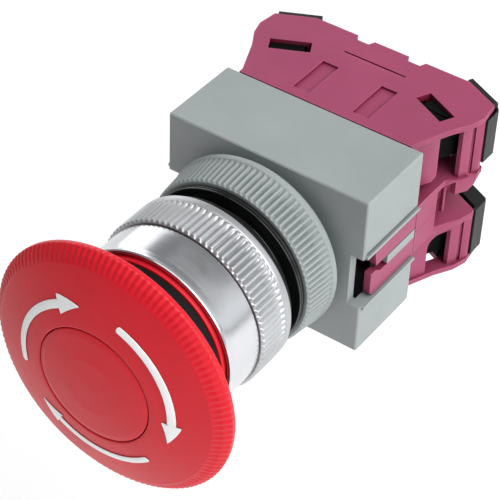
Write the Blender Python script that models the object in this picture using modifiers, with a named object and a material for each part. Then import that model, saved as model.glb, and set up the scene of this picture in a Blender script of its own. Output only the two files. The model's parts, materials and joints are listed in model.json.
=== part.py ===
"""Emergency stop push button: mushroom head, panel bezel, operator body and two contact blocks.

Frame: the origin is the centre of the panel hole, in the plane of the gasket's rear face.
The button axis is Y. The head faces -Y, the contact blocks are towards +Y, and +Z is up.
Lengths are written in millimetres and turned into metres by MM.
"""

import math

import bmesh
import bpy
from mathutils import Matrix, Vector

MM = 0.001

# Driving dimensions
HEAD_RADIUS = 20.0
BARREL_RADIUS = 10.9
STROKE = 5.5
BODY_WIDTH = 34.4
BODY_HEIGHT = 28.0
BODY_FRONT = 11.85
BODY_REAR = 26.45
BLOCK_FRONT = 26.5
BLOCK_REAR = 45.3
BLOCK_HALF_HEIGHT = 14.0
LATCH_Z = -0.9
TERMINAL_HEIGHT = 9.0
TERMINAL_ANGLE = math.radians(26.5)

# Resolution of the round parts
ROUND_STEPS = 48
SMALL_STEPS = 24

MATERIALS = {
    "red_plastic": ((0.78, 0.02, 0.03), 0.35, 0.0),
    "white_ink": ((0.80, 0.82, 0.80), 0.5, 0.0),
    "chrome": ((0.80, 0.81, 0.83), 0.12, 1.0),
    "satin_metal": ((0.62, 0.62, 0.64), 0.35, 1.0),
    "black_rubber": ((0.012, 0.012, 0.013), 0.45, 0.0),
    "grey_plastic": ((0.33, 0.36, 0.36), 0.5, 0.0),
    "pink_plastic": ((0.40, 0.07, 0.14), 0.45, 0.0),
    "black_plastic": ((0.015, 0.017, 0.017), 0.4, 0.0),
    "white_plastic": ((0.75, 0.75, 0.72), 0.5, 0.0),
    "steel": ((0.55, 0.55, 0.56), 0.3, 1.0),
    "silver_contact": ((0.75, 0.72, 0.65), 0.3, 1.0),
}


def clear_scene():
    for obj in list(bpy.data.objects):
        bpy.data.objects.remove(obj, do_unlink=True)


def new_collection(name):
    collection = bpy.data.collections.new(name)
    bpy.context.scene.collection.children.link(collection)
    return collection


def get_material(name):
    if name in bpy.data.materials:
        return bpy.data.materials[name]
    colour, roughness, metallic = MATERIALS[name]
    mat = bpy.data.materials.new(name)
    mat.use_nodes = True
    shader = mat.node_tree.nodes["Principled BSDF"]
    shader.inputs["Base Color"].default_value = (*colour, 1.0)
    shader.inputs["Roughness"].default_value = roughness
    shader.inputs["Metallic"].default_value = metallic
    return mat


clear_scene()
PARTS = new_collection("emergency_stop_button")
CUTTERS = new_collection("cutters")


def add_mesh(name, mesh, mat_name):
    """A new part from a mesh, or a hidden cutter where mat_name is None."""
    obj = bpy.data.objects.new(name, mesh)
    if mat_name is None:
        CUTTERS.objects.link(obj)
        obj.hide_render = True
        obj.display_type = "WIRE"
    else:
        PARTS.objects.link(obj)
        mesh.materials.append(get_material(mat_name))
    return obj


def mesh_from(name, bm, smooth=False):
    bmesh.ops.recalc_face_normals(bm, faces=bm.faces)
    mesh = bpy.data.meshes.new(name)
    bm.to_mesh(mesh)
    bm.free()
    if smooth:
        mesh.shade_smooth()
        mesh.set_sharp_from_angle(angle=math.radians(35))
    return mesh


def baked(obj):
    """Replaces an object's mesh or curve by its evaluated mesh, with the seams welded."""
    depsgraph = bpy.context.evaluated_depsgraph_get()
    mesh = bpy.data.meshes.new_from_object(obj.evaluated_get(depsgraph))
    bm = bmesh.new()
    bm.from_mesh(mesh)
    bmesh.ops.remove_doubles(bm, verts=bm.verts, dist=0.00001)
    bmesh.ops.recalc_face_normals(bm, faces=bm.faces)
    bm.to_mesh(mesh)
    bm.free()
    return mesh


def turned(name, profile, mat_name, steps=ROUND_STEPS, on_axis=False):
    """A body turned about Y. The profile lists (radius, y) from the front along the outer side."""
    mesh = bpy.data.meshes.new(name)
    verts = [(radius * MM, 0.0, -y * MM) for radius, y in profile]
    edges = [(i, i + 1) for i in range(len(verts) - 1)]
    if not on_axis:
        edges.append((len(verts) - 1, 0))
    mesh.from_pydata(verts, edges, [])
    obj = add_mesh(name, mesh, mat_name)
    obj.rotation_euler = (math.pi / 2, 0.0, 0.0)
    screw = obj.modifiers.new("Turn", "SCREW")
    screw.axis = "Z"
    screw.angle = math.tau
    screw.steps = steps
    screw.render_steps = steps
    screw.use_merge_vertices = True
    screw.merge_threshold = 0.00001
    screw.use_smooth_shade = True
    return obj


def rotate_modifier_mesh(obj):
    """Bakes a turned blank, so that its vertices can be moved one by one."""
    bpy.context.view_layer.update()
    mesh = baked(obj)
    name, collection = obj.name, obj.users_collection[0]
    rotation = obj.rotation_euler.copy()
    bpy.data.objects.remove(obj, do_unlink=True)
    result = bpy.data.objects.new(name, mesh)
    result.rotation_euler = rotation
    collection.objects.link(result)
    return result


def ridged(obj, count, depth, y_from, y_to, inner_limit):
    """Presses V-grooves into the outer band of a turned blank that has two steps for each ridge."""
    obj = rotate_modifier_mesh(obj)
    for vert in obj.data.vertices:
        radius = math.hypot(vert.co.x, vert.co.y)
        y = -vert.co.z / MM
        if y_from <= y <= y_to and radius > inner_limit * MM:
            step = round(math.atan2(vert.co.y, vert.co.x) / (math.pi / count))
            if step % 2:
                scale = (radius - depth * MM) / radius
                vert.co.x *= scale
                vert.co.y *= scale
    return obj


def box(name, low, high, mat_name=None):
    bm = bmesh.new()
    bmesh.ops.create_cube(bm, size=1.0)
    for vert in bm.verts:
        for axis in range(3):
            middle = (low[axis] + high[axis]) / 2
            size = high[axis] - low[axis]
            vert.co[axis] = (middle + vert.co[axis] * size) * MM
    return add_mesh(name, mesh_from(name, bm), mat_name)


def mirrored(obj):
    """Adds a copy of the object's mesh on the other side of the YZ plane."""
    bm = bmesh.new()
    bm.from_mesh(obj.data)
    copy = bmesh.ops.duplicate(bm, geom=bm.verts[:] + bm.edges[:] + bm.faces[:])["geom"]
    verts = [item for item in copy if isinstance(item, bmesh.types.BMVert)]
    bmesh.ops.scale(bm, vec=(-1, 1, 1), verts=verts)
    bmesh.ops.recalc_face_normals(bm, faces=bm.faces)
    bm.to_mesh(obj.data)
    bm.free()
    return obj


def plate(name, outline, z_low, z_high, mat_name=None, holes=()):
    """A flat outline in the XY plane, with optional holes, given a thickness in Z."""
    curve = bpy.data.curves.new(name, "CURVE")
    curve.dimensions = "2D"
    curve.fill_mode = "BOTH"
    curve.extrude = abs(z_high - z_low) / 2 * MM
    for points in [outline, *holes]:
        spline = curve.splines.new("POLY")
        spline.points.add(len(points) - 1)
        for point, (x, y) in zip(spline.points, points):
            point.co = (x * MM, y * MM, 0.0, 1.0)
        spline.use_cyclic_u = True
    guide = bpy.data.objects.new(name + "_outline", curve)
    CUTTERS.objects.link(guide)
    bpy.context.view_layer.update()
    mesh = baked(guide)
    bpy.data.objects.remove(guide, do_unlink=True)
    mesh.transform(Matrix.Translation((0, 0, (z_low + z_high) / 2 * MM)))
    mesh.materials.clear()
    return add_mesh(name, mesh, mat_name)


def rod(name, start, end, radius, mat_name=None, steps=SMALL_STEPS):
    """A round bar between two points."""
    start, end = Vector(start) * MM, Vector(end) * MM
    bm = bmesh.new()
    bmesh.ops.create_cone(
        bm, cap_ends=True, segments=steps, radius1=radius * MM, radius2=radius * MM,
        depth=(end - start).length,
    )
    turn = (end - start).to_track_quat("Z", "Y").to_matrix().to_4x4()
    bmesh.ops.transform(bm, matrix=Matrix.Translation((start + end) / 2) @ turn, verts=bm.verts)
    return add_mesh(name, mesh_from(name, bm, smooth=True), mat_name)


def coil(name, start, axis, length, radius, wire, turns, mat_name, points=10):
    """A wire spring whose helix runs along axis from start."""
    curve = bpy.data.curves.new(name, "CURVE")
    curve.dimensions = "3D"
    curve.bevel_depth = wire * MM
    curve.bevel_resolution = 1
    curve.use_fill_caps = True
    count = turns * points
    spline = curve.splines.new("POLY")
    spline.points.add(count)
    for i, point in enumerate(spline.points):
        angle = math.tau * i / points
        place = (radius * math.cos(angle), radius * math.sin(angle), length * i / count)
        point.co = (*(value * MM for value in place), 1.0)
    guide = bpy.data.objects.new(name + "_path", curve)
    CUTTERS.objects.link(guide)
    bpy.context.view_layer.update()
    mesh = baked(guide)
    bpy.data.objects.remove(guide, do_unlink=True)
    turn = Vector(axis).to_track_quat("Z", "Y").to_matrix().to_4x4()
    mesh.transform(Matrix.Translation(Vector(start) * MM) @ turn)
    mesh.materials.clear()
    return add_mesh(name, mesh, mat_name)


def boolean(obj, other, operation):
    modifier = obj.modifiers.new(other.name, "BOOLEAN")
    modifier.operation = operation
    modifier.solver = "EXACT"
    modifier.object = other


def cut(obj, *cutters):
    for cutter in cutters:
        boolean(obj, cutter, "DIFFERENCE")


def join(obj, *additions):
    for addition in additions:
        boolean(obj, addition, "UNION")


def bevel(obj, width, segments=1):
    modifier = obj.modifiers.new("Edges", "BEVEL")
    modifier.width = width * MM
    modifier.segments = segments
    modifier.limit_method = "ANGLE"
    modifier.angle_limit = math.radians(50)


def joint_empty(name, location, members):
    """An empty on a joint's axis, which carries the parts that move together."""
    empty = bpy.data.objects.new(name, None)
    empty.location = Vector(location) * MM
    PARTS.objects.link(empty)
    for obj in members:
        obj.parent = empty
        obj.matrix_parent_inverse = Matrix.Translation(-empty.location)
    return empty


def mirror_points(half):
    """A closed outline that is symmetric about x = 0, from its half at x > 0."""
    return half + [(-x, y) for x, y in reversed(half)]


# The head: cap, centre disc, arrows, collar and seal ring

CAP_CROWN_Y = -28.45
CAP_CURVE = 49.5
GROOVE_RADIUS = 9.2
ARROW_COUNT = 3
ARROW_SPAN = math.radians(91)
ARROW_HEAD = math.radians(15)
ARROW_RADIUS = 12.6
ARROW_TAIL = 0.45
ARROW_NECK = 0.6
ARROW_BARB = 1.35


def dome_y(radius):
    """The cap's front surface: a shallow dome about the axis."""
    return CAP_CROWN_Y + radius * radius / (2 * CAP_CURVE)


def mushroom_cap():
    dome = [(r, dome_y(r)) for r in (GROOVE_RADIUS, 11.0, 13.0, 15.5, 17.8)]
    shoulder = [(19.0, -24.45), (19.7, -23.9), (HEAD_RADIUS, -23.35), (19.85, -22.75), (19.4, -22.35)]
    underside = [(18.6, -22.3), (17.6, -23.4), (12.6, -24.9), (12.0, -19.55), (7.5, -19.55)]
    profile = [(0.0, -26.35), (GROOVE_RADIUS, -26.35)]
    profile += dome + shoulder + underside + [(7.5, -24.75), (0.0, -24.75)]
    return turned("mushroom_cap", profile, "red_plastic", on_axis=True)


def cap_disc():
    radius = GROOVE_RADIUS - 0.12
    profile = [(0.0, dome_y(0) + 0.1), (5.0, dome_y(5) + 0.1), (radius - 0.4, dome_y(radius))]
    profile += [(radius, dome_y(radius) + 0.35), (radius, -26.5), (0.0, -26.5)]
    return turned("cap_disc", profile, "red_plastic", steps=32, on_axis=True)


def reset_arrow(index):
    """A curved arrow that lies on the dome and points clockwise, seen from the front."""
    stations = 12
    tail = math.radians(73) + index * math.tau / ARROW_COUNT
    shaft_end = tail - ARROW_SPAN + ARROW_HEAD
    half_widths = []
    for i in range(stations + 1):
        share = i / stations
        half = ARROW_TAIL + (ARROW_NECK - ARROW_TAIL) * share
        half_widths.append((tail + (shaft_end - tail) * share, half))
    half_widths += [(shaft_end, ARROW_BARB), (tail - ARROW_SPAN, 0.08)]
    bm = bmesh.new()
    sections = []
    for angle, half in half_widths:
        section = []
        for radius, lift in ((half, 0.25), (-half, 0.25), (-half, 0.08), (half, 0.08)):
            r = ARROW_RADIUS + radius
            place = Vector((r * math.cos(angle), dome_y(r) - lift, r * math.sin(angle)))
            section.append(bm.verts.new(place * MM))
        sections.append(section)
    for near, far in zip(sections, sections[1:]):
        for i in range(4):
            bm.faces.new((near[i], near[(i + 1) % 4], far[(i + 1) % 4], far[i]))
    bm.faces.new(sections[0])
    bm.faces.new(sections[-1])
    name = f"reset_arrow_{index + 1}"
    return add_mesh(name, mesh_from(name, bm), "white_ink")


def head_collar():
    profile = [
        (4.2, -22.35), (7.3, -22.35), (7.3, -15.85), (12.8, -15.85), (12.8, -9.65), (11.4, -9.65),
        (11.4, -14.95), (4.2, -14.95),
    ]
    return turned("head_collar", profile, "red_plastic")


def head_seal_ring():
    profile = [(7.7, -19.4), (12.6, -19.4), (12.05, -18.6), (12.65, -17.8), (12.65, -15.95), (7.7, -15.95)]
    return turned("head_seal_ring", profile, "black_rubber")


# The stem and what is on it

STEM_BORE_RADIUS = 4.6
LOCK_PIN_Y = 9.85
LOCK_LIFT = 1.0
SPIGOT_END = 20.1


def stem():
    profile = [
        (0.0, -24.15), (3.6, -24.15), (3.6, -23.45), (3.0, -23.45), (3.0, -22.45), (3.9, -22.45),
        (3.9, -4.65), (6.8, -4.65), (6.8, -3.65), (4.3, -3.65), (4.3, LOCK_PIN_Y - 6.6),
        (3.1, LOCK_PIN_Y), (3.1, 18.65), (2.0, 18.65), (2.0, SPIGOT_END), (0.0, SPIGOT_END),
    ]
    return turned("stem", profile, "steel", steps=SMALL_STEPS, on_axis=True)


def stem_clip():
    """A snap ring in the stem's groove, open over a sixth of its turn."""
    steps = 20
    opening = math.radians(60)
    angles = [opening / 2 + (math.tau - opening) * i / steps for i in range(steps + 1)]
    outline = [(5.9 * math.cos(a), 5.9 * math.sin(a)) for a in angles]
    outline += [(3.25 * math.cos(a), 3.25 * math.sin(a)) for a in reversed(angles)]
    clip = plate("stem_clip", outline, 22.65, 23.3, "steel")
    clip.rotation_euler = (math.pi / 2, 0.0, 0.0)
    return clip


def pusher_plate():
    hole = [(2.25 * math.cos(a), 2.25 * math.sin(a)) for a in
            (math.tau * i / SMALL_STEPS for i in range(SMALL_STEPS))]
    outline = mirror_points([(4.5, -12.0), (4.5, -6.5), (6.5, -4.0), (6.5, 4.0), (4.5, 6.5), (4.5, 12.0)])
    bar = plate("pusher_plate", outline, -20.15, -18.75, "white_plastic", holes=[hole])
    bar.rotation_euler = (math.pi / 2, 0.0, 0.0)
    return bar


# The bezel, the panel clamp and the barrel

BEZEL_RIDGES = 87
RING_RIDGES = 94


def bezel_sleeve():
    profile = [
        (13.05, -15.15), (13.65, -15.15), (13.75, -14.9), (13.6, -14.3), (13.5, -13.5), (13.5, -8.2),
        (13.05, -8.2),
    ]
    return turned("bezel_sleeve", profile, "chrome")


def bezel_knurl_ring():
    profile = [
        (13.05, -8.1), (14.1, -8.0), (14.1, -2.7), (14.0, -2.5), (14.0, -1.3), (13.2, -0.8),
        (11.25, -0.8), (11.25, -3.35), (13.05, -3.35),
    ]
    blank = turned("bezel_knurl_ring", profile, "satin_metal", steps=2 * BEZEL_RIDGES)
    return ridged(blank, BEZEL_RIDGES, 0.4, -8.05, -2.6, 14.05)


def panel_gasket():
    return turned("panel_gasket", [(11.3, -0.7), (13.2, -0.7), (13.2, 0.0), (11.3, 0.0)], "black_rubber")


def threaded_barrel():
    root = BARREL_RADIUS - 0.5
    profile = [(9.2, -9.15), (BARREL_RADIUS, -9.15), (BARREL_RADIUS, 0.1)]
    for start in (0.4, 1.4, 10.2, 11.2):
        profile += [(root, start), (BARREL_RADIUS, start + 0.5)]
    profile += [(BARREL_RADIUS, 14.85), (STEM_BORE_RADIUS, 14.85), (STEM_BORE_RADIUS, 5.85), (9.2, 5.85)]
    barrel = turned("threaded_barrel", profile, "black_plastic")
    pockets = mirrored(rod("lock_pin_pockets", (3.0, LOCK_PIN_Y, 0), (9.4, LOCK_PIN_Y, 0), 1.35, steps=12))
    cut(barrel, pockets)
    return barrel


def thrust_washer():
    return turned("thrust_washer", [(11.3, 2.1), (13.2, 2.1), (13.2, 3.15), (11.3, 3.15)], "black_rubber")


def locking_ring():
    profile = [
        (11.25, 3.25), (13.7, 3.25), (13.95, 3.45), (14.45, 8.3), (14.6, 8.5), (14.6, 9.4), (14.1, 9.95),
        (11.25, 9.95),
    ]
    blank = turned("locking_ring", profile, "grey_plastic", steps=2 * RING_RIDGES)
    return ridged(blank, RING_RIDGES, 0.4, 3.4, 8.35, 13.8)


def lock_pin(side, sign):
    """A spring-loaded pin that the stem's cone pushes outwards."""
    slope = (4.3 - 3.1) / 6.6
    tip = 3.1 + slope * 1.1 + 0.25
    return rod(f"lock_pin_{side}", (sign * tip, LOCK_PIN_Y, 0), (sign * 6.6, LOCK_PIN_Y, 0), 1.1,
               "steel", 12)


def lock_pin_spring(side, sign):
    return coil(f"lock_pin_spring_{side}", (sign * 6.95, LOCK_PIN_Y, 0), (sign, 0, 0), 2.0, 0.75, 0.16, 3,
                "steel", points=8)


# The operator body

SLOT_LOW = LATCH_Z - 4.55
SLOT_HIGH = LATCH_Z + 4.55
SLOT_BAR = 0.75
SLOT_BAR_FRONT = 18.85
SLOT_BOTTOM_X = 15.2
RIB_HEIGHT = 0.5
RIB_PROUD = 0.45


def operator_body():
    x, z = BODY_WIDTH / 2, BODY_HEIGHT / 2
    body = box("operator_body", (-x, BODY_FRONT, -z), (x, BODY_REAR, z), "grey_plastic")
    bevel(body, 0.2)
    ribs, grooves = [], []
    for edge, base, away in (("upper", SLOT_HIGH, 1), ("lower", SLOT_LOW, -1)):
        low, high = sorted((base, base + away * RIB_HEIGHT))
        rib = box(f"slot_rib_{edge}", (x - 0.8, BODY_FRONT + 0.5, low),
                  (x + RIB_PROUD, BODY_REAR - 0.1, high))
        ribs.append(mirrored(rib))
        low, high = sorted((base + away * RIB_HEIGHT, base + away * (RIB_HEIGHT + 0.28)))
        groove = box(f"rib_groove_{edge}", (x - 0.3, BODY_FRONT + 0.8, low),
                     (x + 1.0, BODY_REAR + 1.0, high))
        grooves.append(mirrored(groove))
    join(body, *ribs)
    cavity = box("body_cavity", (-15.5, 13.45, -12.3), (15.5, BODY_REAR + 1, 12.3))
    bore = rod("body_bore", (0, 10.0, 0), (0, 15.0, 0), 11.2, steps=ROUND_STEPS)
    mouth = box("slot_mouth", (15.1, 10.0, SLOT_LOW), (19.0, 13.9, SLOT_HIGH))
    front = box("slot_front", (SLOT_BOTTOM_X, 13.6, SLOT_LOW), (19.0, SLOT_BAR_FRONT, SLOT_HIGH))
    rear_low = (SLOT_BOTTOM_X, SLOT_BAR_FRONT - 0.2)
    upper = box("slot_upper", (*rear_low, LATCH_Z + SLOT_BAR), (19.0, BODY_REAR + 1, SLOT_HIGH))
    lower = box("slot_lower", (*rear_low, SLOT_LOW), (19.0, BODY_REAR + 1, LATCH_Z - SLOT_BAR))
    cut(body, cavity, bore, *grooves, *(mirrored(cutter) for cutter in (mouth, front, upper, lower)))
    backing = box("slot_backing", (14.4, SLOT_BAR_FRONT, SLOT_LOW - 0.6), (15.6, BODY_REAR, SLOT_HIGH + 0.6))
    join(body, mirrored(backing))
    return body


# The contact blocks. Heights in a block are measured from the button axis outwards, and
# "up" turns them into Z: +1 for the upper block and -1 for the lower one.

LABEL_INNER = 13.1
CHAMFER_MIDDLE = Vector((16.48, 43.93))
SCREW_AXIS = Vector((math.sin(TERMINAL_ANGLE), math.cos(TERMINAL_ANGLE)))
ALONG_CHAMFER = Vector((math.cos(TERMINAL_ANGLE), -math.sin(TERMINAL_ANGLE)))
WALL_FRONT = Vector((15.1, 28.35))
WALL_REAR = Vector((19.8, 39.1))
WALL_THICKNESS = 0.7
WINDOW_FRONT = 32.0
WINDOW_REAR = 35.9
SIDE_END = 39.75

# For each block: the terminal floor's underside and top, the terminal cover's lowest and
# highest edge, and the terminal barrier's.
BLOCK_LEVELS = {
    "upper": (2.9, 4.0, 5.1, 13.8, 7.3, 12.9),
    "lower": (3.9, 5.0, 4.05, 13.0, 5.3, 11.3),
}


def at_terminal(depth, along=0.0):
    """A point in plan, from the middle of the rear chamfer, inwards by depth."""
    return CHAMFER_MIDDLE - SCREW_AXIS * depth + ALONG_CHAMFER * along


def terminal_rectangle(depth_low, depth_high, along_low, along_high):
    """A rectangle in plan whose sides are square to the terminal screw."""
    corners = ((depth_low, along_low), (depth_low, along_high), (depth_high, along_high),
               (depth_high, along_low))
    return [at_terminal(*corner) for corner in corners]


def wall_x(y, inset=0.0):
    """The outer face of the slanted side wall, as x at a given y."""
    share = (y - WALL_FRONT.y) / (WALL_REAR.y - WALL_FRONT.y)
    return WALL_FRONT.x + (WALL_REAR.x - WALL_FRONT.x) * share - inset


def block_plate(name, outline, low, high, up, mat_name=None, both_sides=False):
    """A plate in a contact block between two heights."""
    z_low, z_high = sorted((up * low, up * high))
    obj = plate(name, outline, z_low, z_high, mat_name)
    return mirrored(obj) if both_sides else obj


def block_box(name, low, high, up, mat_name=None, both_sides=False):
    z_low, z_high = sorted((up * low[2], up * high[2]))
    obj = box(name, (low[0], low[1], z_low), (high[0], high[1], z_high), mat_name)
    return mirrored(obj) if both_sides else obj


def side_plate(name, outline, x_low, x_high, up):
    """A plate on both sides of the block, from an outline of (y, height) points."""
    obj = plate(name, outline, x_low, x_high)
    to_side = Matrix(((0, 0, 1, 0), (1, 0, 0, 0), (0, up, 0, 0), (0, 0, 0, 1)))
    obj.data.transform(to_side)
    if up < 0:
        obj.data.flip_normals()
    return mirrored(obj)


def window_cutter(side, up, floor_high):
    """The side opening over the terminal. The lower block's has one large round corner."""
    outline = [(WINDOW_REAR, LABEL_INNER), (WINDOW_FRONT, LABEL_INNER)]
    if side == "upper":
        outline += [(WINDOW_FRONT, floor_high + 1.9), (WINDOW_FRONT - 0.7, floor_high + 1.2)]
        outline += [(26.0, floor_high + 1.2), (26.0, floor_high), (WINDOW_REAR, floor_high)]
    else:
        radius, ceiling = 2.1, floor_high + 1.1
        for i in range(7):
            angle = math.pi + math.pi / 2 * i / 6
            y = WINDOW_FRONT + radius * (1 + math.cos(angle))
            outline.append((y, ceiling + radius * (1 + math.sin(angle))))
        outline.append((WINDOW_REAR, ceiling))
    return side_plate(f"{side}_window", outline, 13.2, 21.5, up)


def contact_housing(name, side, up, inner, floor_low, floor_high):
    """The pink moulded case of one contact block."""
    outline = mirror_points([
        (17.15, BLOCK_FRONT), (17.15, 32.2), (17.6, 33.3), (19.3, 36.3), (20.0, 38.85), at_terminal(0, 3.49),
        (13.73, BLOCK_REAR), (6.1, BLOCK_REAR), (5.6, 44.2), (3.5, 44.2), (3.05, BLOCK_REAR),
    ])
    case = block_plate(name, outline, inner, BLOCK_HALF_HEIGHT, up, "pink_plastic")
    front_corner = [(15.1, 25.0), (15.1, 27.3), (17.6, 33.3), (18.5, 33.3), (18.5, 25.0)]
    side_recess = [(15.1, 25.0), WALL_FRONT, WALL_REAR, (19.8, SIDE_END), (22.5, SIDE_END), (22.5, 25.0)]
    pocket = [
        (11.2, 31.0), (wall_x(31.0, WALL_THICKNESS), 31.0), (WALL_REAR.x - WALL_THICKNESS, WALL_REAR.y),
        (WALL_REAR.x - WALL_THICKNESS, SIDE_END), (22.5, SIDE_END), (22.5, 47.0), at_terminal(-3.0, -4.25),
        at_terminal(2.3, -4.25), (11.2, 41.5),
    ]
    floor_depth = 1.7 if side == "upper" else 2.35
    under_front = 32.3
    under = [(14.2, under_front), (22.0, under_front), (22.0, 47.0), (14.2, 47.0)]
    groove = [(wall_x(37.4) - 0.3, 37.5), (wall_x(38.1) - 0.3, 38.15), (20.4, 37.6), (20.1, 36.9)]
    cut(
        case,
        block_plate(name + "_front_corner", front_corner, floor_high, 15.0, up, both_sides=True),
        block_plate(name + "_side_recess", side_recess, floor_high + 0.001, LABEL_INNER, up, both_sides=True),
        block_plate(name + "_pocket", pocket, floor_high, LABEL_INNER, up, both_sides=True),
        block_plate(name + "_floor_edge", terminal_rectangle(floor_depth, -4.0, -7.0, 7.0), inner - 1,
                    floor_high + 0.1, up, both_sides=True),
        block_plate(name + "_wall_groove", groove, floor_high - 0.1, LABEL_INNER, up, both_sides=True),
        block_plate(name + "_test_slot", terminal_rectangle(6.8, 9.4, -3.25, 3.25), 11.5, 15.0, up,
                    both_sides=True),
        window_cutter(side, up, floor_high),
        block_box(name + "_label_recess", (3.8, 28.3, 13.6), (6.6, 36.4, 15.0), up, both_sides=True),
        block_box(name + "_engraved_line", (-5.5, 40.25, 13.75), (5.5, 40.6, 15.0), up),
        block_box(name + "_chamber", (-10.2, 28.2, inner - 1), (10.2, 43.3, 12.9), up),
        block_box(name + "_plunger_hole", (-3.6, 25.0, 5.6), (3.6, 29.0, 11.9), up),
        block_box(name + "_strip_gap", (9.9, 38.9, 5.6), (11.5, 41.9, 12.3), up, both_sides=True),
    )
    if side == "upper":
        curved_edge = [(17.2, 32.0), (17.2, 34.2), (18.2, 36.35), (19.6, 38.85), (19.8, 40.3), (22.0, 40.3),
                       (22.0, 32.0)]
        skirt_bottom = 0.5
        inside_skirt = [(14.2, under_front), (22.0, under_front), (22.0, 36.1), (17.2, 36.1), (18.6, 38.9),
                        (18.9, 40.0), (18.9, 47.0), (14.2, 47.0)]
        skirt_rise = [(37.9, skirt_bottom - 0.1), (40.2, floor_low), (47.0, floor_low), (47.0, -1.0), (37.9, -1.0)]
        cut(
            case,
            block_plate(name + "_curved_edge", curved_edge, inner - 1, floor_high, up, both_sides=True),
            block_plate(name + "_under", under, inner - 1, skirt_bottom, up, both_sides=True),
            block_plate(name + "_skirt", inside_skirt, skirt_bottom - 0.1, floor_low, up, both_sides=True),
            side_plate(name + "_skirt_rise", skirt_rise, 14.2, 22.0, up),
        )
        join(case, block_box(name + "_tab", (16.65, 34.3, -2.2), (17.15, 35.0, floor_low + 0.2), up,
                             both_sides=True))
    else:
        cut(case, block_plate(name + "_under", under, inner - 1, floor_low, up, both_sides=True))
    return case


def latch_arms(side, up):
    """The two arms that reach forward along the operator body, each with a hooked end."""
    if side == "upper":
        low, high = LATCH_Z + 0.9, LATCH_Z + 4.3
        outline = [(26.9, low), (26.9, high), (15.7, high), (15.3, high - 0.5), (15.9, low)]
    else:
        low, high = 0.9 - LATCH_Z, 4.3 - LATCH_Z
        outline = [(26.9, low), (26.9, high), (15.35, high), (14.65, high - 0.7), (14.65, low - 0.9),
                   (15.9, low - 0.9), (17.2, low)]
    return side_plate(f"{side}_latch_arms", outline, 15.95, 17.1, up)


def terminal_cover(name, sign, up, low, high):
    """The black cover on a slanted rear corner, with a round hole over the terminal screw."""
    outline = [
        at_terminal(1.6, -4.05), at_terminal(1.6, 4.2), (19.55, SIDE_END + 0.15), (20.15, SIDE_END + 0.15),
        (20.15, 42.9), (19.8, 43.45), at_terminal(-1.05, -4.05),
    ]
    outline = [(sign * x, y) for x, y in outline]
    cover = block_plate(name, outline, low, min(high, LABEL_INNER - 0.15), up, "black_plastic")
    if high > LABEL_INNER:
        lip = [(sign * x, y) for x, y in terminal_rectangle(-0.2, -1.05, -3.9, 3.0)]
        join(cover, block_plate(name + "_lip", lip, LABEL_INNER - 1.0, high, up))
    ends = [(sign * x, y, up * TERMINAL_HEIGHT) for x, y in (at_terminal(3.0), at_terminal(-3.0))]
    cut(cover, rod(name + "_hole", ends[0], ends[1], 2.5, steps=16))
    return cover


def terminal_barrier(name, side, sign, up, low, high):
    """The black guard beside and in front of the terminal, between it and the side opening.

    The upper block's has a shelf that fills the test slot from below.
    """
    side_wall = [(sign * x, y) for x, y in terminal_rectangle(1.9, 11.0, 3.1, 3.6)]
    front_wall = [(sign * x, y) for x, y in terminal_rectangle(6.5, 7.0, -2.3, 3.3)]
    barrier = block_plate(name, side_wall, low, high, up, "black_plastic")
    join(barrier, block_plate(name + "_front", front_wall, low, LABEL_INNER - 0.2, up))
    if side == "upper":
        shelf = [(sign * x, y) for x, y in terminal_rectangle(6.9, 9.25, -2.2, 3.1)]
        join(barrier, block_plate(name + "_shelf", shelf, 12.0, 13.4, up))
    return barrier


def terminal_screw(name, sign, up):
    """A pan head screw along the slanted terminal axis, with a slot across its head."""
    profile = [(0.0, 2.0), (2.2, 2.0), (2.9, 2.6), (2.9, 4.3), (1.6, 4.3), (1.6, 6.35), (0.0, 6.35)]
    screw = turned(name, profile, "steel", steps=16, on_axis=True)
    slot = box(name + "_slot", (-4.0, -0.4, -3.1), (4.0, 0.4, -1.0))
    slot.rotation_euler = (math.pi / 2, 0.0, 0.0)
    place = Matrix.Translation(
        Vector((sign * CHAMFER_MIDDLE.x, CHAMFER_MIDDLE.y, up * TERMINAL_HEIGHT)) * MM
    ) @ Matrix.Rotation(math.pi - sign * TERMINAL_ANGLE, 4, "Z")
    screw.matrix_world = place @ Matrix.Rotation(math.pi / 2, 4, "X")
    slot.matrix_world = screw.matrix_world
    cut(screw, slot)
    return screw


def clamp_washer(name, sign, up):
    """A square wire clamp under the screw head."""
    outline = [(sign * x, y) for x, y in terminal_rectangle(4.45, 5.15, -2.8, 2.8)]
    washer = block_plate(name, outline, TERMINAL_HEIGHT - 2.8, TERMINAL_HEIGHT + 2.8, up, "steel")
    ends = [(sign * x, y, up * TERMINAL_HEIGHT) for x, y in (at_terminal(3.0), at_terminal(7.0))]
    cut(washer, rod(name + "_hole", ends[0], ends[1], 1.85, steps=16))
    return washer


def fixed_contact(name, sign, up):
    """A stamped strip from the terminal screw to the contact point in the chamber."""
    bend = at_terminal(5.8, -5.13)
    path = [at_terminal(5.8, 2.7), bend, Vector((bend.x, 32.6)), Vector((5.0, 32.6))]
    outline = strip_outline(path, 0.4)
    outline = [(sign * x, y) for x, y in outline]
    strip = block_plate(name, outline, TERMINAL_HEIGHT - 3.0, TERMINAL_HEIGHT + 3.0, up, "silver_contact")
    ends = [(sign * x, y, up * TERMINAL_HEIGHT) for x, y in (at_terminal(4.0), at_terminal(8.0))]
    cut(strip, rod(name + "_hole", ends[0], ends[1], 1.85, steps=16))
    return strip


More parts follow.
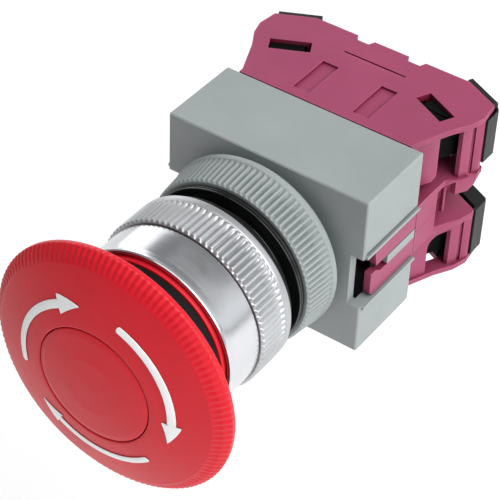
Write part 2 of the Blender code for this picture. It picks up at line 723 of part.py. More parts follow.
def strip_outline(path, half):
    """The outline of a bent strip: its centre line in plan, given a thickness with mitred bends."""
    left, right = [], []
    for i, point in enumerate(path):
        before = (point - path[i - 1]).normalized() if i else None
        after = (path[i + 1] - point).normalized() if i < len(path) - 1 else None
        before, after = before or after, after or before
        normal = Vector((-(before.y + after.y), before.x + after.x)).normalized()
        reach = half / max(normal.dot(Vector((-before.y, before.x))), 0.3)
        left.append(point + normal * reach)
        right.append(point - normal * reach)
    return left + right[::-1]


def contact_plunger(name, up):
    plunger = block_box(name, (-3.2, 20.35, 6.2), (3.2, 33.0, 11.3), up, "white_plastic")
    bevel(plunger, 0.4)
    return plunger


def moving_bridge(name, up):
    bridge = block_box(name, (-8.0, 33.1, 7.4), (8.0, 33.8, 10.6), up, "silver_contact")
    seat = rod(name + "_seat", (0, 33.5, up * TERMINAL_HEIGHT), (0, 35.2, up * TERMINAL_HEIGHT), 1.3,
               steps=12)
    join(bridge, seat)
    return bridge


def contact_block(side, up, inner):
    floor_low, floor_high, cover_low, cover_high, barrier_low, barrier_high = BLOCK_LEVELS[side]
    housing = contact_housing(f"{side}_contact_housing", side, up, inner, floor_low, floor_high)
    join(housing, latch_arms(side, up))
    block_box(f"{side}_contact_cover", (-9.95, 28.45, inner + 0.1), (9.95, 43.05, inner + 1.1), up,
              "pink_plastic")
    for hand, sign in (("left", -1), ("right", 1)):
        terminal_cover(f"{side}_terminal_cover_{hand}", sign, up, cover_low, cover_high)
        terminal_barrier(f"{side}_terminal_barrier_{hand}", side, sign, up, barrier_low, barrier_high)
        terminal_screw(f"{side}_terminal_screw_{hand}", sign, up)
        clamp_washer(f"{side}_clamp_washer_{hand}", sign, up)
        fixed_contact(f"{side}_fixed_contact_{hand}", sign, up)
    coil(f"{side}_contact_spring", (0, 34.3, up * TERMINAL_HEIGHT), (0, 1, 0), 8.5, 2.0, 0.25, 5, "steel")
    moving = [contact_plunger(f"{side}_contact_plunger", up), moving_bridge(f"{side}_moving_bridge", up)]
    joint_empty(f"{side}_plunger_slide", (0, 20.35, up * TERMINAL_HEIGHT), moving)


def build():
    head = [mushroom_cap(), cap_disc(), head_collar(), head_seal_ring()]
    head += [reset_arrow(index) for index in range(ARROW_COUNT)]
    pusher = [stem(), stem_clip(), pusher_plate()]
    push_axis = joint_empty("head_push", (0, 0, 0), pusher)
    turn_axis = joint_empty("head_turn", (0, 0, 0), head)
    turn_axis.parent = push_axis
    bezel_sleeve()
    bezel_knurl_ring()
    panel_gasket()
    threaded_barrel()
    washer_axis = joint_empty("ring_travel", (0, 0, 0), [thrust_washer()])
    ring_axis = joint_empty("ring_turn", (0, 0, 0), [locking_ring()])
    ring_axis.parent = washer_axis
    coil("trip_spring", (0, -3.1, 0), (0, 1, 0), 8.4, 6.0, 0.45, 4, "steel", points=12)
    coil("reset_spring", (0, -14.4, 0), (0, 1, 0), 9.2, 6.2, 0.35, 4, "steel", points=12)
    for side, sign in (("left", -1), ("right", 1)):
        joint_empty(f"lock_pin_slide_{side}", (0, LOCK_PIN_Y, 0), [lock_pin(side, sign)])
        lock_pin_spring(side, sign)
    operator_body()
    half_gap = 0.05
    contact_block("upper", 1, LATCH_Z + half_gap)
    contact_block("lower", -1, -LATCH_Z + half_gap)


build()
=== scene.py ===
"""Emergency stop push button: looks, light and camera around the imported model."""

import json
import math

import bmesh
import bpy
from mathutils import Matrix, Vector


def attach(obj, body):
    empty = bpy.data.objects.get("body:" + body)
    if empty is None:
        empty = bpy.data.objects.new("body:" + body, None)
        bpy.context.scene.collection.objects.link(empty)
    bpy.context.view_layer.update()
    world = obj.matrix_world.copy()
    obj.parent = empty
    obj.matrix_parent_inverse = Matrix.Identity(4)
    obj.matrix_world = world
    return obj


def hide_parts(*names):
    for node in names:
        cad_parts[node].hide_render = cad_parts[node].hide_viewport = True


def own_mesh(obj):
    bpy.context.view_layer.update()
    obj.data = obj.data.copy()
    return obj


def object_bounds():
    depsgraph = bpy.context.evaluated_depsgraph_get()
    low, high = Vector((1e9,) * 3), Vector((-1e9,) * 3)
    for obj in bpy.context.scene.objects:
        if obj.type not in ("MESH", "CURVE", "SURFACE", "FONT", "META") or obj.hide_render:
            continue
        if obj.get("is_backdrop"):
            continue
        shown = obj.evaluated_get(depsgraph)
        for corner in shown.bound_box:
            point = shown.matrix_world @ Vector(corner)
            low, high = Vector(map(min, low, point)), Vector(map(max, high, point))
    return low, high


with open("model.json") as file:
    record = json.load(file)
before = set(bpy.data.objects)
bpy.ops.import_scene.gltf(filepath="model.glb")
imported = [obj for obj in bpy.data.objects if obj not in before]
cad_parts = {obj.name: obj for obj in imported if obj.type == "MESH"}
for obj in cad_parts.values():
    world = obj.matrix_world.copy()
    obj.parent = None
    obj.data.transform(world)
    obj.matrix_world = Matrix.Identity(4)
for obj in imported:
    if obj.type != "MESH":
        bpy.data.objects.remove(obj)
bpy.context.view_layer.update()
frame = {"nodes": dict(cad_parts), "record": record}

MM = 0.001

# The mushroom cap, in millimetres: its crown, the dome's radius of curvature and the centre disc in its hole
CROWN_Y = -28.45
DOME_CURVE = 49.5
HOLE_RADIUS = 9.2
DISC_RADIUS = 9.14
SHOULDER_RADIUS = 17.9
RIM_REAR_Y = -22.6

# The printed arrows: the circle they lie on, where the first one's tail is and the turn between them
ARROW_RADIUS = 12.6
ARROW_TAIL = 73
ARROW_SPACING = 120

# How many ridges go round the cap, the bezel and the locking ring, and the barrel's thread
CAP_RIDGES = 124
BEZEL_RIDGES = 87
RING_RIDGES = 94
THREAD_PITCH = 1.0
THREAD_DEPTH = 0.55

# The least turn, in degrees, between two faces of a CAD shape that gets a rounded edge
SHARP_EDGE = 35.0

# How far the edge wear and painted edge highlight reach in from an edge
EDGE_WEAR_AND_HIGHLIGHT_REACH = 0.35

# The floor and lamps, in metres
FLOOR_DROP = 0.10
FLOOR_HALF = 3.0
LAMP_TARGET = Vector((0, 0.01, 0))


# Shape helpers. Lengths are in millimetres until a mesh is made.

def finish_mesh(name, verts, faces, sharp=32.0):
    mesh = bpy.data.meshes.new(name)
    mesh.from_pydata([Vector(v) * MM for v in verts], [], faces)
    bm = bmesh.new()
    bm.from_mesh(mesh)
    bmesh.ops.recalc_face_normals(bm, faces=bm.faces)
    bm.to_mesh(mesh)
    bm.free()
    mesh.shade_smooth()
    mesh.set_sharp_from_angle(angle=math.radians(sharp))
    obj = bpy.data.objects.new(name, mesh)
    bpy.context.scene.collection.objects.link(obj)
    return obj


def filleted(points, segments=4):
    """A closed outline whose corners (x, y, radius) are rounded."""
    result = []
    count = len(points)
    for i, (x, y, radius) in enumerate(points):
        corner = Vector((x, y))
        before = Vector(points[i - 1][:2]) - corner
        after = Vector(points[(i + 1) % count][:2]) - corner
        if radius <= 0 or before.length < 1e-6 or after.length < 1e-6:
            result.append((x, y))
            continue
        half = before.angle(after) / 2
        reach = min(radius / max(math.tan(half), 0.05), 0.48 * before.length, 0.48 * after.length)
        start = corner + before.normalized() * reach
        end = corner + after.normalized() * reach
        for k in range(segments + 1):
            t = k / segments
            place = start * (1 - t) ** 2 + corner * 2 * t * (1 - t) + end * t * t
            result.append((place.x, place.y))
    return result


def densified(outline, longest):
    """The closed outline with extra points, so that no edge is longer than this."""
    result = []
    for (x0, y0), (x1, y1) in zip(outline, outline[1:] + outline[:1]):
        steps = max(1, math.ceil(math.hypot(x1 - x0, y1 - y0) / longest))
        result += [(x0 + (x1 - x0) * k / steps, y0 + (y1 - y0) * k / steps) for k in range(steps)]
    return result


def lathe(name, outline, steps, shape=None, sharp=32.0):
    """A body turned about Y from a closed outline of (radius, y). shape(r, y, angle) moves a point."""
    verts, rings = [], []
    for radius, y in outline:
        if radius < 1e-4:
            verts.append((0.0, y, 0.0))
            rings.append([len(verts) - 1] * steps)
            continue
        ring = []
        for k in range(steps):
            angle = math.tau * k / steps
            r, y_here = shape(radius, y, angle) if shape else (radius, y)
            verts.append((r * math.cos(angle), y_here, r * math.sin(angle)))
            ring.append(len(verts) - 1)
        rings.append(ring)
    faces = []
    for near, far in zip(rings, rings[1:] + rings[:1]):
        for k in range(steps):
            quad = (near[k], near[(k + 1) % steps], far[(k + 1) % steps], far[k])
            corners = tuple(dict.fromkeys(quad))
            if len(corners) > 2:
                faces.append(corners)
    return finish_mesh(name, verts, faces, sharp)


def smooth_step(value, low, high):
    t = min(max((value - low) / (high - low), 0.0), 1.0)
    return t * t * (3 - 2 * t)


def edged_copy(node, name, width):
    """A copy of a CAD node's mesh whose edges are rounded."""
    mesh = frame["nodes"][node].data.copy()
    bm = bmesh.new()
    bm.from_mesh(mesh)
    bmesh.ops.remove_doubles(bm, verts=bm.verts, dist=1e-6)
    bmesh.ops.dissolve_limit(bm, angle_limit=math.radians(1.0), verts=bm.verts, edges=bm.edges)
    bm.to_mesh(mesh)
    bm.free()
    mesh.materials.clear()
    obj = bpy.data.objects.new(name, mesh)
    bpy.context.scene.collection.objects.link(obj)
    bevel = obj.modifiers.new("Edges", "BEVEL")
    bevel.width = width * MM
    bevel.segments = 2
    bevel.limit_method = "ANGLE"
    bevel.angle_limit = math.radians(SHARP_EDGE)
    bevel.harden_normals = True
    mesh.shade_smooth()
    mesh.set_sharp_from_angle(angle=math.radians(SHARP_EDGE))
    return obj


# Materials

def new_material(name):
    mat = bpy.data.materials.new(name)
    mat.use_nodes = True
    return mat, mat.node_tree.nodes, mat.node_tree.links


def add_noise(nodes, links, vector, scale, detail=3.0, roughness=0.55):
    noise = nodes.new("ShaderNodeTexNoise")
    noise.inputs["Scale"].default_value = scale
    noise.inputs["Detail"].default_value = detail
    noise.inputs["Roughness"].default_value = roughness
    links.new(vector, noise.inputs["Vector"])
    return noise.outputs["Fac"]


def add_range(nodes, links, value, from_low, from_high, to_low, to_high):
    node = nodes.new("ShaderNodeMapRange")
    for socket, number in zip(("From Min", "From Max", "To Min", "To Max"),
                              (from_low, from_high, to_low, to_high)):
        node.inputs[socket].default_value = number
    links.new(value, node.inputs["Value"])
    return node.outputs["Result"]


def add_mix(nodes, links, factor, colour_a, colour_b, blend="MIX"):
    node = nodes.new("ShaderNodeMix")
    node.data_type = "RGBA"
    node.blend_type = blend
    links.new(factor, node.inputs["Factor"])
    for index, colour in ((6, colour_a), (7, colour_b)):
        if isinstance(colour, bpy.types.NodeSocket):
            links.new(colour, node.inputs[index])
        else:
            node.inputs[index].default_value = (*colour, 1.0)
    return node.outputs[2]


def add_bump(nodes, links, height, strength, distance, normal=None):
    node = nodes.new("ShaderNodeBump")
    node.inputs["Strength"].default_value = strength
    node.inputs["Distance"].default_value = distance
    links.new(height, node.inputs["Height"])
    if normal:
        links.new(normal, node.inputs["Normal"])
    return node.outputs["Normal"]


def scaled(colour, factor):
    return tuple(min(c * factor, 1.0) for c in colour)


def add_math(nodes, links, operation, *values):
    node = nodes.new("ShaderNodeMath")
    node.operation = operation
    for socket, value in zip(node.inputs, values):
        if isinstance(value, bpy.types.NodeSocket):
            links.new(value, socket)
        else:
            socket.default_value = value
    return node.outputs[0]


def edge_mask(nodes, links, reach):
    """1 along sharp edges and 0 on flat or gently curved faces."""
    rounded = nodes.new("ShaderNodeBevel")
    rounded.samples = 4
    rounded.inputs["Radius"].default_value = reach * MM
    compare = nodes.new("ShaderNodeVectorMath")
    compare.operation = "DOT_PRODUCT"
    links.new(rounded.outputs["Normal"], compare.inputs[0])
    links.new(nodes.new("ShaderNodeNewGeometry").outputs["Normal"], compare.inputs[1])
    return add_range(nodes, links, compare.outputs["Value"], 0.995, 0.85, 0.0, 1.0)


def openness(nodes, links, reach):
    """1 on open faces and 0 deep in corners and gaps."""
    node = nodes.new("ShaderNodeAmbientOcclusion")
    node.samples = 4
    node.inputs["Distance"].default_value = reach * MM
    return node.outputs["AO"]


def surface(name, colour, roughness, metallic=0.0, mottle=0.12, grain=2500.0, grain_depth=0.12,
            wave=160.0, wave_depth=0.05, wear_and_highlight=0.35, wear_and_highlight_colour=None, painted_shade=0.35, painted_shade_colour=None,
            reach=1.2, streak=0.0, coat=0.0, spread=0.08, specular=0.5):
    """A solid material: mottled colour, edges lightened by wear and a painted highlight, painted shade in
    corners and gaps, uneven gloss and fine grain.
    """
    mat, nodes, links = new_material(name)
    shader = nodes["Principled BSDF"]
    shader.inputs["Metallic"].default_value = metallic
    shader.inputs["Coat Weight"].default_value = coat
    shader.inputs["Coat Roughness"].default_value = 0.12
    shader.inputs["Specular IOR Level"].default_value = specular
    place = nodes.new("ShaderNodeTexCoord").outputs["Object"]
    streaked = place
    if streak:
        mapping = nodes.new("ShaderNodeMapping")
        mapping.inputs["Scale"].default_value = (1.0, streak, 1.0)
        links.new(place, mapping.inputs["Vector"])
        streaked = mapping.outputs["Vector"]
    large = add_noise(nodes, links, place, 90.0)
    fine = add_noise(nodes, links, streaked, grain if not streak else 130.0, 4.0, 0.65)
    medium = add_noise(nodes, links, place, wave)
    tone = add_mix(nodes, links, add_range(nodes, links, large, 0.3, 0.7, 0.0, 1.0),
                   scaled(colour, 1.0 - mottle), scaled(colour, 1.0 + mottle))
    # Painted shade: the colour darkens towards the shade colour in corners, gaps and recesses, as if they lay
    # in shadow.
    open_face = openness(nodes, links, reach)
    painted_shade_amount = add_range(nodes, links, open_face, 0.9, 0.25, 0.0, painted_shade)
    tone = add_mix(nodes, links, painted_shade_amount, tone, painted_shade_colour or scaled(colour, 0.4))
    patchy = add_range(nodes, links, medium, 0.35, 0.65, 0.35, 1.0)
    # Lighter edges: partly edge wear, partly a painted highlight where the edges catch the light.
    worn_and_highlit = add_math(nodes, links, "MULTIPLY", edge_mask(nodes, links, EDGE_WEAR_AND_HIGHLIGHT_REACH), patchy)
    worn_and_highlit = add_math(nodes, links, "MULTIPLY", worn_and_highlit, add_range(nodes, links, open_face, 0.5, 0.85, 0.0, wear_and_highlight))
    tone = add_mix(nodes, links, worn_and_highlit, tone, wear_and_highlight_colour or scaled(colour, 1.5))
    links.new(tone, shader.inputs["Base Color"])
    broad = add_range(nodes, links, medium, 0.3, 0.7, roughness - spread / 2, roughness + spread / 2)
    narrow = add_range(nodes, links, fine, 0.3, 0.7, -spread / 4, spread / 4)
    links.new(add_math(nodes, links, "ADD", broad, narrow), shader.inputs["Roughness"])
    normal = add_bump(nodes, links, medium, wave_depth, 0.0004)
    normal = add_bump(nodes, links, fine, grain_depth, 0.0001, normal)
    links.new(normal, shader.inputs["Normal"])
    return mat


# In each finish the shade colour is a painted shade for corners and recesses, and the wear colour is partly
# edge wear, partly a painted edge highlight.
MATERIALS = {
    "red_plastic": surface("red_moulded_plastic", (0.66, 0.010, 0.022), 0.38, grain=1800.0, grain_depth=0.10,
                           wear_and_highlight=0.35, wear_and_highlight_colour=(0.82, 0.11, 0.13), painted_shade=0.7,
                           painted_shade_colour=(0.26, 0.002, 0.01), mottle=0.04, coat=0.03, reach=1.6,
                           specular=0.25),
    "white_ink": surface("white_print", (0.92, 0.94, 0.93), 0.55, grain=2600.0, grain_depth=0.25, painted_shade=0.1,
                         wear_and_highlight=0.1),
    "chrome": surface("polished_chrome", (0.63, 0.64, 0.66), 0.21, metallic=1.0, mottle=0.03, streak=40.0,
                      grain_depth=0.01, wave_depth=0.01, spread=0.08, wear_and_highlight=0.2, painted_shade=0.4),
    "satin_metal": surface("satin_knurled_metal", (0.48, 0.49, 0.50), 0.42, metallic=1.0, streak=30.0,
                           grain_depth=0.08, mottle=0.06, wear_and_highlight=0.6, wear_and_highlight_colour=(0.70, 0.71, 0.73),
                           painted_shade=0.85, painted_shade_colour=(0.16, 0.16, 0.17), reach=0.5),
    "black_rubber": surface("black_rubber", (0.006, 0.006, 0.0065), 0.36, grain=3000.0, grain_depth=0.15,
                            wear_and_highlight=0.5, wear_and_highlight_colour=(0.03, 0.03, 0.032), painted_shade=0.2, specular=0.12),
    "grey_plastic": surface("grey_matte_plastic", (0.29, 0.32, 0.32), 0.5, grain=2600.0, grain_depth=0.25,
                            wear_and_highlight=0.6, wear_and_highlight_colour=(0.52, 0.56, 0.56), mottle=0.05, painted_shade=0.75,
                            painted_shade_colour=(0.07, 0.08, 0.08), reach=0.9, specular=0.4),
    "pink_plastic": surface("pink_moulded_plastic", (0.315, 0.054, 0.12), 0.42, grain=2200.0,
                            grain_depth=0.12, wear_and_highlight=0.55, wear_and_highlight_colour=(0.56, 0.15, 0.27), mottle=0.07,
                            painted_shade=1.0, painted_shade_colour=(0.12, 0.003, 0.012), reach=4.5, specular=0.22),
    "black_plastic": surface("black_plastic", (0.010, 0.011, 0.011), 0.42, grain=2600.0, grain_depth=0.15,
                             wear_and_highlight=0.5, wear_and_highlight_colour=(0.09, 0.10, 0.10), painted_shade=0.3, specular=0.22),
    # Near-black with almost no reflection: the barriers' own black plastic, darkened further as painted shade
    # for the inside of the windows.
    "painted_shade_black": surface("black_plastic_with_painted_shade", (0.003, 0.0035, 0.0035), 0.6, grain=2600.0,
                            grain_depth=0.15, wear_and_highlight=0.3, wear_and_highlight_colour=(0.02, 0.022, 0.022), painted_shade=0.3,
                            specular=0.06),
    "gloss_black": surface("gloss_black_plastic", (0.006, 0.0065, 0.0065), 0.16, grain=2600.0,
                           grain_depth=0.05, wear_and_highlight=0.4, wear_and_highlight_colour=(0.06, 0.065, 0.065), painted_shade=0.2),
    "white_plastic": surface("white_moulded_plastic", (0.72, 0.72, 0.68), 0.45),
    "steel": surface("plated_steel", (0.58, 0.58, 0.59), 0.28, metallic=1.0, grain_depth=0.08,
                     wear_and_highlight_colour=(0.8, 0.8, 0.8)),
    "silver_contact": surface("silver_contact", (0.74, 0.70, 0.62), 0.3, metallic=1.0, grain_depth=0.08),
}
SLOT_OF = {part["node"]: part["material_slot"] for part in frame["record"]["subparts"]}
BODY_OF = {node: body for body, members in frame["record"]["behaviour"]["bodies"].items() for node in members}


def stands_for(piece, node, material=None):
    """The piece takes the place of this CAD node, with its body and finish."""
    slot = SLOT_OF[node]
    piece.data.materials.clear()
    piece.data.materials.append(MATERIALS[material or slot])
    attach(piece, BODY_OF[node])
    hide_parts(node)


# The head

def dome_y(radius):
    return CROWN_Y + radius * radius / (2 * DOME_CURVE)


def cap():
    outline = [(0.0, -26.35, 0), (HOLE_RADIUS, -26.35, 0.1), (HOLE_RADIUS, dome_y(HOLE_RADIUS), 0.32)]
    outline += [(r, dome_y(r), 0.6) for r in (11.0, 13.0, 15.0, 16.6)]
    outline += [(SHOULDER_RADIUS, dome_y(SHOULDER_RADIUS), 0.8), (19.1, -24.45, 0.9), (19.95, -23.45, 0.5),
                (19.8, RIM_REAR_Y, 0.35), (19.3, -22.33, 0.3), (18.6, -22.33, 0.3), (17.6, -23.4, 0.8),
                (12.6, -24.9, 0.4), (12.0, -19.55, 0.2), (7.5, -19.55, 0.2), (7.5, -24.75, 0.2),
                (0.0, -24.75, 0)]
    outline = densified(filleted(outline), 1.0)

    def serrated(r, y, angle):
        if r < SHOULDER_RADIUS or y > RIM_REAR_Y:
            return r, y
        depth = 0.13 * smooth_step(r, SHOULDER_RADIUS, SHOULDER_RADIUS + 0.7)
        depth *= 1 - smooth_step(y, RIM_REAR_Y - 0.7, RIM_REAR_Y)
        wave = 0.5 - 0.5 * math.cos(CAP_RIDGES * angle)
        return r - depth * wave * 0.8, y + depth * wave * 0.8

    return lathe("cap", outline, CAP_RIDGES * 6, serrated, 50.0)


def cap_centre():
    outline = [(0.0, dome_y(0) + 0.06, 0), (4.5, dome_y(4.5) + 0.05, 1.0), (8.2, dome_y(8.2) + 0.03, 0.3),
               (DISC_RADIUS, dome_y(9) + 0.12, 0.35), (DISC_RADIUS, -26.5, 0.1), (0.0, -26.5, 0)]
    return lathe("cap_centre", densified(filleted(outline, 6), 0.8), 128, None, 50.0)


def arrow_sections():
    """Stations along an arrow: the turn from its tail, in degrees, and half its width."""
    length, head, barb = 91.0, 15.0, 1.35
    sections = []
    for k in range(5):
        bend = math.radians(18 * k)
        sections.append((1.6 - 1.6 * math.cos(bend), 0.45 * math.sin(bend) + 0.04))
    sections += [(1.6 + (length - head - 1.6) * k / 24, 0.49 + 0.11 * k / 24) for k in range(25)]
    sections += [(length - head - 1.5 + 0.2 * k, barb) for k in range(2)]
    point = [(length - head - 1.3 + (head + 1.3) * k / 8, barb * (1 - k / 8) + 0.05) for k in range(1, 9)]
    return sections + point


def reset_arrow(index):
    """A printed arrow with a rounded tail, raised a little from the dome."""
    tail = ARROW_TAIL + ARROW_SPACING * index
    verts, faces = [], []
    across = 4
    sections = arrow_sections()
    for turn, half in sections:
        angle = math.radians(tail - turn)
        for lift in (0.2, 0.06):
            for j in range(across + 1):
                r = ARROW_RADIUS + half * (2 * j / across - 1)
                edge = 0.05 if lift > 0.1 and j in (0, across) else 0.0
                verts.append((r * math.cos(angle), dome_y(r) - lift + edge, r * math.sin(angle)))
    row = 2 * (across + 1)
    for i in range(len(sections) - 1):
        a, b = i * row, (i + 1) * row
        for j in range(across):
            faces.append((a + j, a + j + 1, b + j + 1, b + j))
            low = across + 1
            faces.append((a + low + j, b + low + j, b + low + j + 1, a + low + j + 1))
        faces.append((a, b, b + across + 1, a + across + 1))
        faces.append((a + across, a + row - 1, b + row - 1, b + across))
    for a in (0, (len(sections) - 1) * row):
        for j in range(across):
            faces.append((a + j, a + j + 1, a + across + 2 + j, a + across + 1 + j))
    return finish_mesh(f"arrow_{index + 1}", verts, faces, 40.0)


def collar():
    outline = [(4.2, -22.35, 0.2), (7.3, -22.35, 0.2), (7.3, -15.85, 0.15), (12.8, -15.85, 0.25),
               (12.8, -9.65, 0.2), (11.4, -9.65, 0.2), (11.4, -14.95, 0.2), (4.2, -14.95, 0.2)]
    return lathe("collar", filleted(outline), 144)


def seal_ring():
    outline = [(7.7, -19.4, 0.2), (12.55, -19.4, 0.35), (12.05, -18.6, 0.3), (12.65, -17.8, 0.35),
               (12.65, -15.95, 0.2), (7.7, -15.95, 0.2)]
    return lathe("seal_ring", filleted(outline, 5), 144)


# The bezel, gasket, barrel and ring

def sleeve():
    outline = [(13.05, -15.15, 0.1), (13.55, -15.15, 0.2), (13.66, -14.9, 0.2), (13.55, -14.4, 0.3),
               (13.5, -13.6, 0.4), (13.5, -8.2, 0.12), (13.05, -8.2, 0.05)]
    return lathe("sleeve", densified(filleted(outline, 6), 1.5), 192)


def ridge_wave(count, angle):
    """0 on a ridge and 1 in the groove beside it, with round ridges and narrow grooves."""
    wave = 0.5 - 0.5 * math.cos(count * angle)
    return wave ** 1.5


def knurl():
    outline = [(13.05, -8.1, 0.05), (13.75, -8.1, 0.15), (14.1, -7.8, 0.2), (14.1, -2.75, 0.1),
               (14.0, -2.45, 0.1), (14.05, -2.25, 0.1), (14.05, -1.3, 0.25), (13.2, -0.8, 0.15),
               (11.25, -0.8, 0.1), (11.25, -3.35, 0.1), (13.05, -3.35, 0.1)]

    def grooved(r, y, angle):
        if r < 13.4 or y > -2.5:
            return r, y
        depth = 0.36 * smooth_step(y, -8.2, -7.7) * (1 - smooth_step(y, -2.85, -2.6))
        return r - depth * ridge_wave(BEZEL_RIDGES, angle), y

    return lathe("knurl", densified(filleted(outline), 0.9), BEZEL_RIDGES * 8, grooved, 60.0)


def gasket():
    outline = [(11.3, -0.7, 0.15), (13.2, -0.7, 0.2), (13.2, 0.0, 0.08), (11.3, 0.0, 0.08)]
    return lathe("gasket", filleted(outline), 144)


def barrel():
    outline = [(9.2, -9.15, 0.2), (10.9, -9.15, 0.2), (10.9, -3.2, 0), (10.9, 14.85, 0.2), (4.6, 14.85, 0.2),
               (4.6, 5.85, 0.1), (9.2, 5.85, 0.3)]
    outline = filleted(outline)
    dense = []
    for (r0, y0), (r1, y1) in zip(outline, outline[1:] + outline[:1]):
        threaded = r0 > 10.8 and r1 > 10.8 and y0 > -3.3 and y1 > y0
        steps = max(1, round((y1 - y0) / 0.125)) if threaded else 1
        dense += [(r0 + (r1 - r0) * k / steps, y0 + (y1 - y0) * k / steps) for k in range(steps)]

    def threaded_shape(r, y, angle):
        if r < 10.6 or y < -3.0 or y > 14.5:
            return r, y
        phase = (y / THREAD_PITCH - angle / math.tau) % 1.0
        groove = 1 - abs(2 * phase - 1)
        depth = THREAD_DEPTH * smooth_step(groove, 0.15, 0.95)
        return r - depth * smooth_step(y, -3.0, -2.5) * (1 - smooth_step(y, 14.0, 14.5)), y

    return lathe("barrel", dense, 120, threaded_shape, 70.0)


def washer():
    outline = [(11.3, 2.1, 0.08), (13.2, 2.1, 0.12), (13.2, 2.4, 0.05), (12.95, 2.5, 0.05),
               (13.2, 2.62, 0.05), (13.2, 3.15, 0.12), (11.3, 3.15, 0.08)]
    return lathe("washer", filleted(outline), 144)


def nut_ring():
    outline = [(11.25, 3.25, 0.15), (13.6, 3.25, 0.2), (13.95, 3.5, 0.2), (14.45, 8.3, 0.1),
               (14.6, 8.55, 0.15), (14.6, 9.35, 0.25), (14.1, 9.95, 0.2), (11.25, 9.95, 0.2)]

    def grooved(r, y, angle):
        if r < 13.3 or y > 8.4:
            return r, y
        depth = 0.45 * smooth_step(y, 3.2, 3.7) * (1 - smooth_step(y, 8.1, 8.35))
        return r - depth * ridge_wave(RING_RIDGES, angle), y

    return lathe("nut_ring", densified(filleted(outline), 0.9), RING_RIDGES * 8, grooved, 60.0)


stands_for(cap(), "mushroom_cap")
stands_for(cap_centre(), "cap_disc")
for arrow_index in range(3):
    stands_for(reset_arrow(arrow_index), f"reset_arrow_{arrow_index + 1}")
stands_for(collar(), "head_collar")
stands_for(seal_ring(), "head_seal_ring")
stands_for(sleeve(), "bezel_sleeve")
stands_for(knurl(), "bezel_knurl_ring")
stands_for(gasket(), "panel_gasket")
stands_for(barrel(), "threaded_barrel", "gloss_black")
stands_for(washer(), "thrust_washer", "gloss_black")
stands_for(nut_ring(), "locking_ring")

# The body, contact blocks and terminals: CAD shapes with rounded edges

EDGE_WIDTHS = {"operator_body": 0.15}
for block in ("upper", "lower"):
    EDGE_WIDTHS[f"{block}_contact_housing"] = 0.14
    EDGE_WIDTHS[f"{block}_contact_cover"] = 0.12
    EDGE_WIDTHS[f"{block}_contact_plunger"] = 0.15
    EDGE_WIDTHS[f"{block}_moving_bridge"] = 0.08
    for hand in ("left", "right"):
        EDGE_WIDTHS[f"{block}_terminal_cover_{hand}"] = 0.15
        EDGE_WIDTHS[f"{block}_terminal_barrier_{hand}"] = 0.1
        EDGE_WIDTHS[f"{block}_clamp_washer_{hand}"] = 0.12
        EDGE_WIDTHS[f"{block}_fixed_contact_{hand}"] = 0.1
        EDGE_WIDTHS[f"{block}_terminal_screw_{hand}"] = 0.15
for node, edge_width in EDGE_WIDTHS.items():
    # The terminal barriers get the near-black finish, a painted shade for the dark inside of the windows.
    finish = "painted_shade_black" if "_terminal_barrier_" in node else None
    stands_for(edged_copy(node, node + "_finished", edge_width), node, finish)


# Springs: smooth copies that take the place of the CAD springs

def pressed_spring(node, axis):
    """A smooth copy of a spring with a mesh of its own; the axis given does not shorten it."""
    mesh = frame["nodes"][node].data.copy()
    mesh.shade_smooth()
    mesh.set_sharp_from_angle(angle=math.radians(60.0))
    piece = bpy.data.objects.new(node + "_wound", mesh)
    bpy.context.scene.collection.objects.link(piece)
    stands_for(piece, node)
    along = Vector((0, 0, 0))
    along[axis] = 1.0
    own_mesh(piece)


for spring in ("trip_spring", "upper_contact_spring", "lower_contact_spring"):
    pressed_spring(spring, 1)
pressed_spring("lock_pin_spring_left", 0)
pressed_spring("lock_pin_spring_right", 0)

for node, cad_object in frame["nodes"].items():
    for material_slot in cad_object.material_slots:
        material_slot.material = MATERIALS[SLOT_OF[node]]


# Floor, light and camera

def floor():
    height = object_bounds()[0][2] - FLOOR_DROP
    corners = ((-1, -1), (1, -1), (1, 1), (-1, 1))
    mesh = bpy.data.meshes.new("floor")
    mesh.from_pydata([(x * FLOOR_HALF, y * FLOOR_HALF, height) for x, y in corners], [], [(0, 1, 2, 3)])
    obj = bpy.data.objects.new("floor", mesh)
    bpy.context.scene.collection.objects.link(obj)
    mat, nodes, links = new_material("pale_floor")
    shader = nodes["Principled BSDF"]
    place = nodes.new("ShaderNodeTexCoord").outputs["Object"]
    tone = add_mix(nodes, links, add_noise(nodes, links, place, 3.0), (0.92, 0.92, 0.92), (0.94, 0.94, 0.94))
    links.new(tone, shader.inputs["Base Color"])
    shader.inputs["Roughness"].default_value = 0.8
    shader.inputs["Emission Color"].default_value = (1.0, 1.0, 1.0, 1.0)
    shader.inputs["Emission Strength"].default_value = 0.12
    mesh.materials.append(mat)
    obj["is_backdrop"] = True


def area_light(name, place, size, power):
    """A square lamp that points at the middle of the object."""
    data = bpy.data.lights.new(name, "AREA")
    data.shape = "SQUARE"
    data.size = size
    data.energy = power
    obj = bpy.data.objects.new(name, data)
    obj.location = place
    obj.rotation_euler = (LAMP_TARGET - Vector(place)).to_track_quat("-Z", "Y").to_euler()
    bpy.context.scene.collection.objects.link(obj)


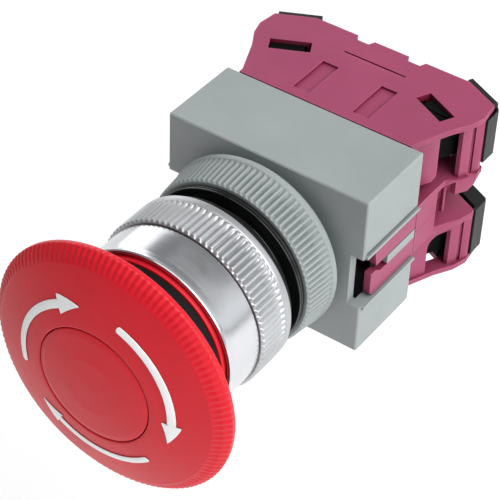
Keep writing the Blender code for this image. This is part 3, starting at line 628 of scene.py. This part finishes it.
def studio():
    """A dim soft sky that is bright low down behind the object and to its right, and three soft lamps."""
    world = bpy.data.worlds.new("studio")
    world.use_nodes = True
    nodes, links = world.node_tree.nodes, world.node_tree.links
    direction = nodes.new("ShaderNodeSeparateXYZ")
    links.new(nodes.new("ShaderNodeTexCoord").outputs["Generated"], direction.inputs[0])
    behind = add_range(nodes, links, direction.outputs["Y"], -0.1, 0.6, 0.0, 1.0)
    right = add_range(nodes, links, direction.outputs["X"], 0.1, 0.9, 0.0, 0.5)
    low = add_range(nodes, links, direction.outputs["Z"], 0.65, 0.15, 0.0, 0.75)
    backdrop = add_math(nodes, links, "MULTIPLY", add_math(nodes, links, "MAXIMUM", behind, right), low)
    links.new(add_math(nodes, links, "ADD", backdrop, 0.26), nodes["Background"].inputs["Strength"])
    nodes["Background"].inputs["Color"].default_value = (0.97, 0.985, 1.0, 1)
    bpy.context.scene.world = world
    area_light("key", (0.60, 0.0, 0.54), 0.85, 8.2)
    area_light("overhead", (0.0, 0.12, 0.75), 0.6, 1.6)
    area_light("back_left", (-0.62, 0.50, 0.20), 0.5, 0.85)


CAMERA_PLACE = Vector((0.11769, -0.16804, 0.18316))
CAMERA_VIEW = Vector((-0.42587, 0.62677, -0.65253))
CAMERA_ROLL = math.radians(2.068)
CAMERA_LENS = 139.41


def camera():
    data = bpy.data.cameras.new("camera")
    data.sensor_width = 36.0
    data.lens = CAMERA_LENS
    data.shift_x = 0.0269
    data.shift_y = -0.0159
    data.clip_start = 0.01
    obj = bpy.data.objects.new("camera", data)
    back = -CAMERA_VIEW.normalized()
    right = Vector((0, 0, 1)).cross(back).normalized()
    up = back.cross(right)
    turn = Matrix((right, up, back)).transposed().to_4x4() @ Matrix.Rotation(CAMERA_ROLL, 4, "Z")
    obj.matrix_world = Matrix.Translation(CAMERA_PLACE) @ turn
    bpy.context.scene.collection.objects.link(obj)
    bpy.context.scene.camera = obj


floor()
studio()
camera()
bpy.context.scene.view_settings.view_transform = "Standard"
